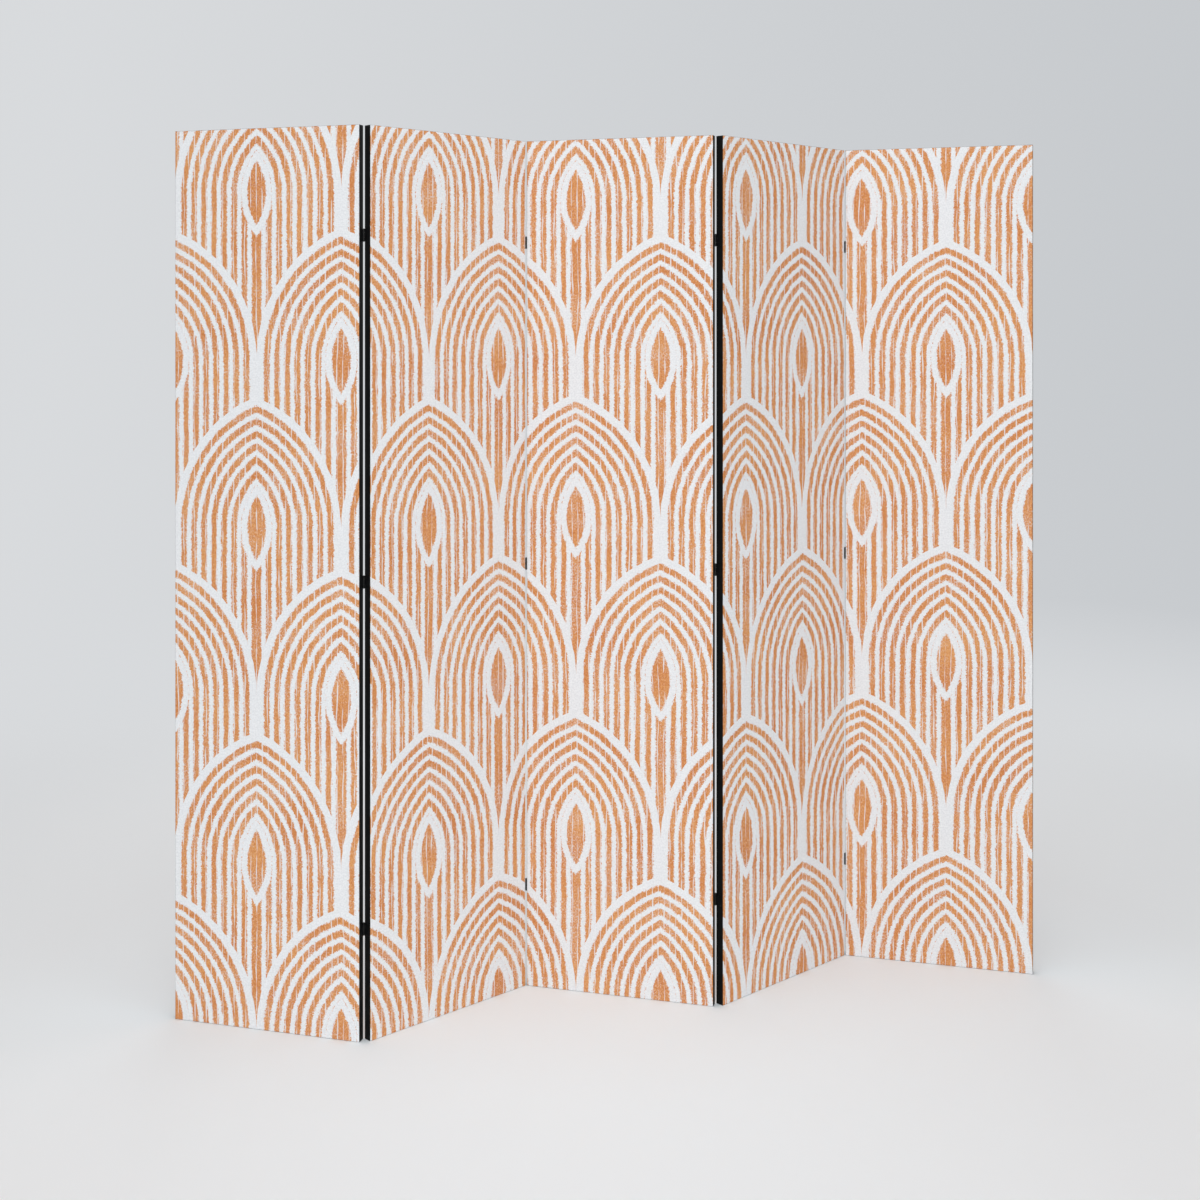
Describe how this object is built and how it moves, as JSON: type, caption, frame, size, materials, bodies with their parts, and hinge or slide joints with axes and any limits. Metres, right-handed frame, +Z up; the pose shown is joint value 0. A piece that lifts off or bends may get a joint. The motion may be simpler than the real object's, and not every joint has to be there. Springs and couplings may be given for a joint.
{
  "type": "folding screen",
  "caption": "Free-standing accordion folding screen of hinged batten-framed panels with printed canvas on both faces.",
  "frame": {"origin": "on the floor, under the middle of the middle panel, which is also the middle of the screen's box", "axes": "+X along the width of the screen, to the right as seen from the front; +Y to the back; +Z up"},
  "size_m": [1.788, 0.2156, 1.775],
  "materials": {
    "printed_canvas": "matt woven canvas, off-white ground with a terracotta block-printed pattern",
    "black_wood": "satin black paint on softwood battens",
    "black_steel": "black lacquered steel, satin"
  },
  "bodies": {
    "panel_1": {"panel_1_stile_left": "black_wood", "panel_1_stile_right": "black_wood", "panel_1_rail_bottom": "black_wood", "panel_1_rail_middle": "black_wood", "panel_1_rail_top": "black_wood", "panel_1_canvas_front": "printed_canvas", "panel_1_canvas_back": "printed_canvas", "hinge_1_2_bottom_eye_leaf": "black_steel", "hinge_1_2_middle_eye_leaf": "black_steel", "hinge_1_2_top_eye_leaf": "black_steel"},
    "panel_2": {"panel_2_stile_left": "black_wood", "panel_2_stile_right": "black_wood", "panel_2_rail_bottom": "black_wood", "panel_2_rail_middle": "black_wood", "panel_2_rail_top": "black_wood", "panel_2_canvas_front": "printed_canvas", "panel_2_canvas_back": "printed_canvas", "hinge_1_2_bottom_pin_leaf": "black_steel", "hinge_1_2_middle_pin_leaf": "black_steel", "hinge_1_2_top_pin_leaf": "black_steel", "hinge_2_3_bottom_eye_leaf": "black_steel", "hinge_2_3_middle_eye_leaf": "black_steel", "hinge_2_3_top_eye_leaf": "black_steel"},
    "panel_3": {"panel_3_stile_left": "black_wood", "panel_3_stile_right": "black_wood", "panel_3_rail_bottom": "black_wood", "panel_3_rail_middle": "black_wood", "panel_3_rail_top": "black_wood", "panel_3_canvas_front": "printed_canvas", "panel_3_canvas_back": "printed_canvas", "hinge_2_3_bottom_pin_leaf": "black_steel", "hinge_2_3_middle_pin_leaf": "black_steel", "hinge_2_3_top_pin_leaf": "black_steel", "hinge_3_4_bottom_pin_leaf": "black_steel", "hinge_3_4_middle_pin_leaf": "black_steel", "hinge_3_4_top_pin_leaf": "black_steel"},
    "panel_4": {"panel_4_stile_left": "black_wood", "panel_4_stile_right": "black_wood", "panel_4_rail_bottom": "black_wood", "panel_4_rail_middle": "black_wood", "panel_4_rail_top": "black_wood", "panel_4_canvas_front": "printed_canvas", "panel_4_canvas_back": "printed_canvas", "hinge_3_4_bottom_eye_leaf": "black_steel", "hinge_3_4_middle_eye_leaf": "black_steel", "hinge_3_4_top_eye_leaf": "black_steel", "hinge_4_5_bottom_pin_leaf": "black_steel", "hinge_4_5_middle_pin_leaf": "black_steel", "hinge_4_5_top_pin_leaf": "black_steel"},
    "panel_5": {"panel_5_stile_left": "black_wood", "panel_5_stile_right": "black_wood", "panel_5_rail_bottom": "black_wood", "panel_5_rail_middle": "black_wood", "panel_5_rail_top": "black_wood", "panel_5_canvas_front": "printed_canvas", "panel_5_canvas_back": "printed_canvas", "hinge_4_5_bottom_eye_leaf": "black_steel", "hinge_4_5_middle_eye_leaf": "black_steel", "hinge_4_5_top_eye_leaf": "black_steel"}
  },
  "joints": [
    {"name": "fold_2_3", "type": "hinge", "parent": "panel_3", "child": "panel_2", "pos_m": [-0.17913, 0.09135, 0], "axis": [0, 0, 1], "range_deg": [-60, 120]},
    {"name": "fold_3_4", "type": "hinge", "parent": "panel_3", "child": "panel_4", "pos_m": [0.17913, -0.09135, 0], "axis": [0, 0, 1], "range_deg": [-60, 120]},
    {"name": "fold_1_2", "type": "hinge", "parent": "panel_2", "child": "panel_1", "pos_m": [-0.53737, -0.09135, 0], "axis": [0, 0, -1], "range_deg": [-60, 120]},
    {"name": "fold_4_5", "type": "hinge", "parent": "panel_4", "child": "panel_5", "pos_m": [0.53737, 0.09135, 0], "axis": [0, 0, -1], "range_deg": [-60, 120]}
  ],
  "couplings": [
    {"joint": "fold_3_4", "follows": "fold_2_3", "ratio": 1}
  ]
}
